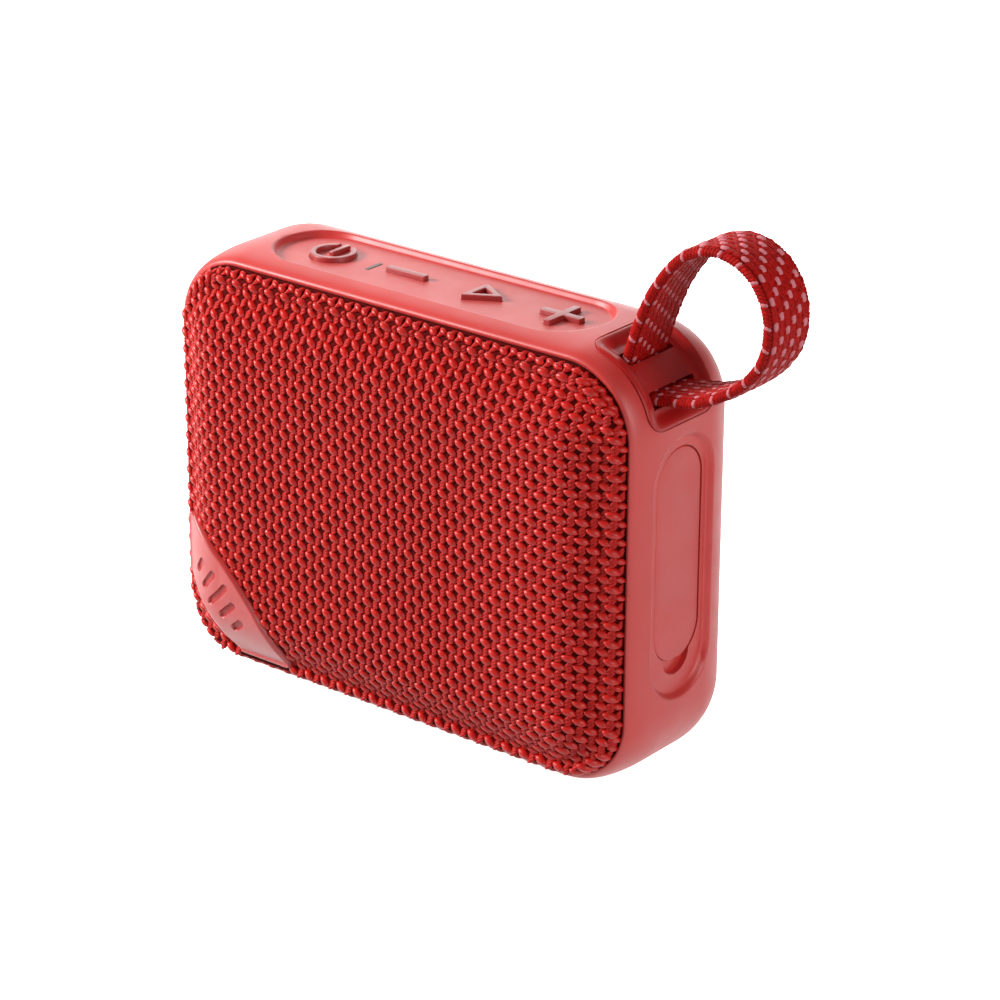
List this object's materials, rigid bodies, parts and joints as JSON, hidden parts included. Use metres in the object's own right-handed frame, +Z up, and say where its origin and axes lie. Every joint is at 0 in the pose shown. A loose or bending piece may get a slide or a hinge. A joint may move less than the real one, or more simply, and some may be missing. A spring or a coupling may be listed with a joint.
{
  "type": "portable bluetooth speaker",
  "caption": "Pocket speaker box with a fabric front, symbol keys on top, an oval side cover over its sockets, a rear radiator and a strap loop at one corner.",
  "frame": {"origin": "centre of the foot pad's underside, under the middle of the key row", "axes": "+Z up, -Y towards the fabric front, +X to the right seen from the front"},
  "size_m": [0.1242, 0.0397, 0.1011],
  "materials": {
    "coral_shell": "fine satin, soft touch",
    "black_plastic": "moulded",
    "black_rubber": "matt",
    "steel": "zinc plated",
    "dark_red_plastic": "satin",
    "red_fabric": "coarse glossy weave",
    "coral_badge": "satin",
    "red_webbing": "braided, with pink flecks",
    "red_rubber": "matt",
    "key_red": "satin",
    "white_plastic": "moulded",
    "circuit_board": "solder mask",
    "grey_lens": "frosted",
    "coral_rubber": "satin",
    "socket_steel": "stamped",
    "battery_wrap": "foil wrap",
    "black_foam": "foam",
    "red_wire": "insulation",
    "polyimide": "film",
    "black_wire": "insulation",
    "black_steel": "powder coated",
    "plated_steel": "zinc plated",
    "ferrite": "ground",
    "copper": "enamelled wire",
    "black_cone": "pressed paper",
    "spider_cloth": "varnished cloth",
    "radiator_red": "satin"
  },
  "bodies": {
    "housing": {"main_shell": "coral_shell", "baffle": "black_plastic", "baffle_seal": "black_rubber", "baffle_screws": "steel", "grille_panel": "dark_red_plastic", "grille_fabric": "red_fabric", "badge": "coral_badge", "strap_insert": "dark_red_plastic", "strap": "red_webbing", "base_pad": "red_rubber", "key_retainer": "black_plastic", "key_board": "circuit_board", "key_switches": "black_plastic", "key_screws": "steel", "light_pipe": "grey_lens", "status_led": "white_plastic", "cover_tether": "coral_rubber", "main_board": "circuit_board", "board_components": "black_plastic", "board_screws": "steel", "usb_c_socket": "socket_steel", "aux_socket": "black_plastic", "card_socket": "socket_steel", "battery_cell": "battery_wrap", "battery_foam": "black_foam", "battery_wires": "red_wire", "key_cable": "polyimide", "driver_wires": "black_wire", "driver_frame": "black_steel", "driver_gasket": "black_rubber", "driver_screws": "steel", "driver_top_plate": "plated_steel", "driver_magnet": "ferrite", "driver_back_plate": "plated_steel", "driver_surround": "black_rubber", "driver_spider": "spider_cloth", "radiator_frame": "dark_red_plastic", "radiator_surround": "red_rubber"},
    "power_key": {"power_key": "key_red", "power_plunger": "white_plastic"},
    "volume_down_key": {"volume_down_key": "key_red", "volume_down_plunger": "white_plastic"},
    "play_key": {"play_key": "key_red", "play_plunger": "white_plastic"},
    "volume_up_key": {"volume_up_key": "key_red", "volume_up_plunger": "white_plastic"},
    "side_cover": {"port_cover": "coral_rubber"},
    "cone": {"driver_cone": "black_cone", "dust_cap": "black_cone", "voice_coil": "copper"},
    "radiator": {"radiator_plate": "radiator_red"}
  },
  "joints": [
    {"name": "power_key_press", "type": "slide", "parent": "housing", "child": "power_key", "axis": [0, 0, -1], "range_m": [0, 0.0004], "stiffness_N_per_m": 400, "springref_m": -0.0004},
    {"name": "volume_down_key_press", "type": "slide", "parent": "housing", "child": "volume_down_key", "axis": [0, 0, -1], "range_m": [0, 0.0004], "stiffness_N_per_m": 400, "springref_m": -0.0004},
    {"name": "play_key_press", "type": "slide", "parent": "housing", "child": "play_key", "axis": [0, 0, -1], "range_m": [0, 0.0004], "stiffness_N_per_m": 400, "springref_m": -0.0004},
    {"name": "volume_up_key_press", "type": "slide", "parent": "housing", "child": "volume_up_key", "axis": [0, 0, -1], "range_m": [0, 0.0004], "stiffness_N_per_m": 400, "springref_m": -0.0004},
    {"name": "side_cover_swing", "type": "hinge", "parent": "housing", "child": "side_cover", "pos_m": [0.0508, 0, 0.0626], "axis": [0, -1, 0], "range_deg": [0, 110]},
    {"name": "cone_travel", "type": "slide", "parent": "housing", "child": "cone", "axis": [0, -1, 0], "range_m": [-0.001, 0.001], "stiffness_N_per_m": 1500, "deforming": ["driver_surround", "driver_spider"]},
    {"name": "radiator_travel", "type": "slide", "parent": "housing", "child": "radiator", "axis": [0, 1, 0], "range_m": [-0.0012, 0.0012], "stiffness_N_per_m": 800, "deforming": ["radiator_surround"]}
  ]
}
